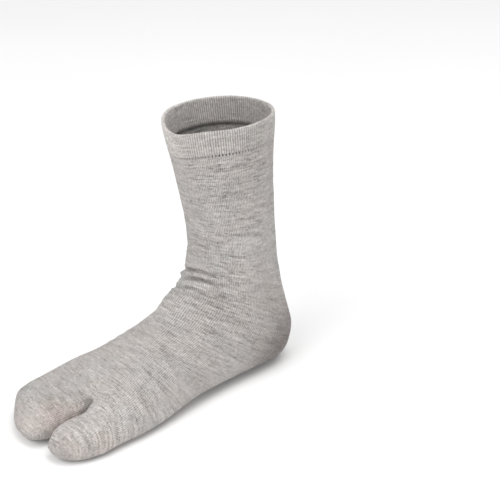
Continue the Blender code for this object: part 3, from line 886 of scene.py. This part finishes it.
YARN = (0.56, 0.53, 0.51)
FIBRE_SCALE = 2600.0
FIBRE_SHARE = 0.35
DULL = {"Roughness": 0.95, "Specular_IOR_Level": 0.15}
FUZZ = {"Sheen_Weight": 0.20, "Sheen_Roughness": 0.5}


class Nodes:
    """Short calls to build a material's node tree."""

    def __init__(self, name):
        self.material = bpy.data.materials.new(name)
        self.material.use_nodes = True
        self.tree = self.material.node_tree
        self.shader = self.tree.nodes["Principled BSDF"]

    def fill(self, node, inputs):
        """Sets or links a node's inputs, which go by name or, where names are alike, by number."""
        for key, value in inputs.items():
            if isinstance(value, bpy.types.NodeSocket):
                self.tree.links.new(value, node.inputs[key])
            else:
                node.inputs[key].default_value = value

    def node(self, kind, inputs, output=0, **settings):
        """An output of a new node."""
        made = self.tree.nodes.new(kind)
        for key, value in settings.items():
            setattr(made, key, value)
        self.fill(made, inputs)
        return made.outputs[output]

    def shade(self, colour, **inputs):
        """Fills the shader, and returns the finished material."""
        inputs = {key.replace("_", " "): value for key, value in inputs.items()}
        self.fill(self.shader, {"Base Color": colour} | inputs)
        return self.material

    def math(self, operation, *values):
        return self.node("ShaderNodeMath", dict(enumerate(values)), operation=operation)

    def times(self, a, b):
        return self.math("MULTIPLY", a, b)

    def times_plus(self, a, b, c):
        return self.math("MULTIPLY_ADD", a, b, c)

    def blend(self, share, a, b):
        """A number between two others."""
        return self.node("ShaderNodeMix", {0: share, 2: a, 3: b})

    def mix(self, share, a, b, kind="MIX"):
        """A colour between two others, or their product."""
        return self.node("ShaderNodeMix", {0: share, 6: a, 7: b}, 2, data_type="RGBA", blend_type=kind)

    def tinted(self, colour, by):
        return self.mix(1.0, colour, by, "MULTIPLY")

    def vector(self, x, y, z=0.0):
        return self.node("ShaderNodeCombineXYZ", {"X": x, "Y": y, "Z": z})

    def split(self, vector):
        return self.node("ShaderNodeSeparateXYZ", {"Vector": vector}).node.outputs[:2]

    def place(self):
        return self.node("ShaderNodeTexCoord", {}, "Object")

    def attribute(self, name, output="Fac"):
        return self.node("ShaderNodeAttribute", {}, output, attribute_name=name)

    def knit(self):
        """The wale, the course and the place round the ring."""
        return *self.split(self.node("ShaderNodeUVMap", {}, uv_map="knit")), self.attribute("ring", "Vector")

    def noise(self, vector, scale, detail, roughness):
        inputs = {"Vector": vector, "Scale": scale, "Detail": detail, "Roughness": roughness}
        return self.node("ShaderNodeTexNoise", inputs)

    def white(self, vector):
        """A number from 0 to 1 that is the same all over a cell of a grid."""
        return self.node("ShaderNodeTexWhiteNoise", {"Vector": vector}, noise_dimensions="2D")

    def ramp(self, value, stops):
        made = self.node("ShaderNodeValToRGB", {"Fac": value})
        band = made.node.color_ramp
        while len(band.elements) > 1:
            band.elements.remove(band.elements[-1])
        band.elements[0].position, band.elements[0].color = stops[0][0], (*stops[0][1], 1)
        for at, colour in stops[1:]:
            band.elements.new(at).color = (*colour, 1)
        return made

    def smooth(self, value, low, high):
        inputs = {"Value": value, "From Min": low, "From Max": high}
        return self.node("ShaderNodeMapRange", inputs, interpolation_type="SMOOTHSTEP")

    def bump(self, height, distance):
        return self.node("ShaderNodeBump", {"Strength": 1.0, "Distance": distance, "Height": height})


def heather(nodes, wale, course, ring, level=0.0, contrast=1.0, lighter=1.0):
    """The colour of heather yarn: streaks along each course, broad bands of them, and single stitches."""
    x, y = nodes.split(ring)

    def spot(scale, z):
        return nodes.vector(nodes.times(x, scale), nodes.times(y, scale), z)

    low = nodes.math("FLOOR", level)
    half_wale = nodes.math("FLOOR", nodes.times(wale, 2.0))
    short, long, specks = [], [], []
    for octave in (0.0, 1.0):
        height = nodes.times(course, nodes.math("POWER", 2.0, nodes.math("ADD", low, octave)))
        seat = nodes.times(nodes.math("FLOOR", nodes.times(height, 1 / STREAK_COURSES)), ROW_STEP)
        for streaks, closeness in ((short, SHORT_STREAKS), (long, LONG_STREAKS)):
            streaks.append(nodes.noise(spot(closeness, seat), 1.0, 1.5, 0.6))
        specks.append(nodes.white(nodes.vector(half_wale, nodes.math("FLOOR", nodes.times(height, 0.7)))))
    share = nodes.math("SUBTRACT", level, low)
    band = nodes.noise(spot(2.6, nodes.times(course, 0.30)), 1.0, 2.0, 0.5)
    value = 0.0
    for part, weight in (
        (nodes.blend(share, *short), SHORT_SHARE), (nodes.blend(share, *long), LONG_SHARE),
        (band, BAND_SHARE), (nodes.blend(share, *specks), SPECK_SHARE),
    ):
        value = nodes.times_plus(nodes.math("SUBTRACT", part, 0.5), weight * contrast, value)
    stops = [(at, [lighter * c for c in colour]) for at, colour in HEATHER]
    return nodes.ramp(nodes.math("ADD", value, 0.5), stops)


def stitches(nodes, wale, course):
    """The height of plain knit, 0 to 1: two slanted legs to each stitch, with grooves between wales."""
    away = nodes.math("ABSOLUTE", nodes.math("SUBTRACT", nodes.math("FRACT", wale), 0.5))
    phase = nodes.math("FRACT", nodes.times_plus(away, -STITCH_SLANT, course))
    loop = nodes.math("SINE", nodes.times(phase, math.pi))
    groove = nodes.smooth(away, 0.5, 0.30)
    split = nodes.smooth(away, 0.0, 0.10)
    height = nodes.times(nodes.times_plus(loop, 0.45, 0.55), groove)
    return nodes.times(height, nodes.times_plus(split, 0.15, 0.85)), groove


def outer_knit(nodes, colour, height, distance):
    """Gives the material its colour, its stitches' relief and its loose fibres."""
    fibre = nodes.noise(nodes.place(), FIBRE_SCALE, 2.0, 0.6)
    relief = nodes.bump(nodes.times_plus(fibre, FIBRE_SHARE, height), distance)
    return nodes.shade(colour, Normal=relief, **DULL, **FUZZ)


def knit_material():
    """Heather-grey plain knit, outside."""
    nodes = Nodes("heather_plain_knit")
    wale, course, ring = nodes.knit()
    colour = heather(nodes, wale, course, ring, nodes.attribute("level"), LEG_CONTRAST)
    height, groove = stitches(nodes, wale, course)
    # painted shade: the colour is darker in the grooves between wales and between the stitches' legs
    shade = nodes.times_plus(height, 0.34, nodes.times_plus(groove, 0.26, 0.50))
    # painted shade, and painted light where the attribute is negative, from the TONES table
    shade = nodes.times(shade, nodes.math("SUBTRACT", 1.0, nodes.attribute("deeper")))
    colour = nodes.mix(nodes.attribute("warmer"), colour, nodes.tinted(colour, WARMER))
    colour = nodes.tinted(colour, nodes.vector(shade, shade, shade))
    cast = nodes.smooth(nodes.noise(nodes.place(), 48.0, 3.0, 0.6), 0.36, 0.64)
    return outer_knit(nodes, nodes.tinted(colour, nodes.mix(cast, *CASTS)), height, 0.00035)


def purl_material():
    """The same knit from inside, with its courses as ridges."""
    nodes = Nodes("heather_purl_side")
    wale, course, ring = nodes.knit()
    colour = heather(nodes, wale, course, ring, lighter=INSIDE_LIGHTER)
    wave = nodes.math("SINE", nodes.times(wale, 2 * math.pi))
    ridge = nodes.math("SINE", nodes.times(nodes.times_plus(wave, 0.2, course), 2 * math.pi))
    return nodes.shade(colour, Normal=nodes.bump(ridge, 0.00025), **DULL)


def welt_material():
    """The welt's rib knit, a little paler than the leg."""
    nodes = Nodes("heather_rib_knit")
    wale, course, ring = nodes.knit()
    colour = heather(nodes, wale, course, ring, 0.0, WELT_CONTRAST, WELT_LIGHTER)
    centred = nodes.math("ADD", wale, 0.5)
    height, groove = stitches(nodes, centred, course)
    yarn = nodes.vector(nodes.math("FLOOR", centred), nodes.times(course, 0.16))
    drawn = nodes.math("SUBTRACT", nodes.noise(yarn, 1.7, 2.0, 0.7), 0.5)
    # painted shade in the grooves between ribs, with random darker and paler ribs of yarn
    shade = nodes.times_plus(groove, 0.44, nodes.times_plus(drawn, 0.62, 0.53))
    # painted light and shade from the lit attribute
    shade = nodes.times(shade, nodes.attribute("lit"))
    return outer_knit(nodes, nodes.tinted(colour, nodes.vector(shade, shade, shade)), height, 0.00030)


def yarn_material():
    """Plied yarn of the stitches and seams."""
    nodes = Nodes("linking_yarn")
    place = nodes.place()
    patch = nodes.noise(place, 260.0, 2.0, 0.6)
    colour = nodes.ramp(patch, ((0.30, tuple(0.72 * c for c in YARN)), (0.70, YARN)))
    inputs = {"Vector": place, "Scale": 900.0, "Distortion": 2.0}
    twist = nodes.node("ShaderNodeTexWave", inputs, 1, bands_direction="DIAGONAL")
    relief = nodes.bump(twist, 0.00008)
    return nodes.shade(colour, Normal=relief, Roughness=0.9, Specular_IOR_Level=0.2, Sheen_Weight=0.2)


def floor_material():
    """Matt white, a little uneven."""
    nodes = Nodes("pale_floor")
    patch = nodes.noise(nodes.place(), 3.0, 2.0, 0.5)
    colour = nodes.ramp(patch, ((0.3, (0.95, 0.95, 0.95)), (0.7, (0.965, 0.965, 0.965))))
    return nodes.shade(colour, Roughness=0.9, Specular_IOR_Level=0.1)


def direction(azimuth, elevation):
    """The way to something at this azimuth and elevation."""
    azimuth, elevation = math.radians(azimuth), math.radians(elevation)
    flat = math.cos(elevation)
    return Vector((math.sin(azimuth) * flat, -math.cos(azimuth) * flat, math.sin(elevation)))


def studio():
    """A white floor under a pale room, with the round soft lights."""
    scene = bpy.context.scene
    scene.view_settings.view_transform = "Standard"
    scene.view_settings.look = "None"
    scene.world = bpy.data.worlds.new("white_room")
    scene.world.use_nodes = True
    room = scene.world.node_tree.nodes["Background"].inputs
    room["Color"].default_value, room["Strength"].default_value = (1.0, 1.0, 1.0, 1.0), ROOM_STRENGTH
    corners = [(x * FLOOR_REACH, y * FLOOR_REACH, FLOOR) for x, y in ((-1, -1), (1, -1), (1, 1), (-1, 1))]
    mesh = mesh_of("floor", np.array(corners), [(0, 1, 2, 3)])
    piece_of("floor", mesh, floor_material())
    for light in LIGHTS:
        towards = direction(light.azimuth, light.elevation)
        data = bpy.data.lights.new(light.name, "AREA")
        data.shape, data.size, data.energy = "DISK", light.size, light.watts
        lamp = piece_of(light.name, data)
        lamp.location = LIGHT_TARGET + towards * LIGHT_DISTANCE
        lamp.rotation_euler = towards.to_track_quat("Z", "Y").to_euler()


def photo_camera():
    back, roll = direction(CAMERA_AZIMUTH, CAMERA_ELEVATION), math.radians(CAMERA_ROLL)
    right = (-back).cross(Vector((0, 0, 1))).normalized()
    up = right.cross(-back)
    right, up = right * math.cos(roll) + up * math.sin(roll), up * math.cos(roll) - right * math.sin(roll)
    data = bpy.data.cameras.new("camera")
    data.sensor_width, data.lens = SENSOR, FOCAL_PIXELS / PHOTO_PIXELS * SENSOR
    data.clip_start, data.clip_end = 0.05, 20.0
    camera = piece_of("camera", data)
    turned = Matrix((right, up, back)).transposed().to_4x4()
    camera.matrix_world = Matrix.Translation(CAMERA_TARGET + back * CAMERA_DISTANCE) @ turned
    bpy.context.scene.camera = camera


def dress():
    """Makes the pieces, hides the solids that they stand for, and attaches the pieces to the root."""
    table, yarn = tube_table(), yarn_material()
    body = knit_body(table)
    pieces = (
        (body, "heather_knit", "sock_body"),
        (welt(table), "welt_rib", "cuff_welt"),
        (joining_stitches(table, yarn), "linking_yarn", None),
        (toe_linking("big_toe_linking", table, 1, body, yarn), "linking_yarn", "big_toe_seam"),
        (toe_linking("small_toes_linking", table, -1, body, yarn), "linking_yarn", "small_toes_seam"),
    )
    for piece, slot, node in pieces:
        if node:
            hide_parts(node)
        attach(piece, "root")


photo_camera()
studio()
dress()
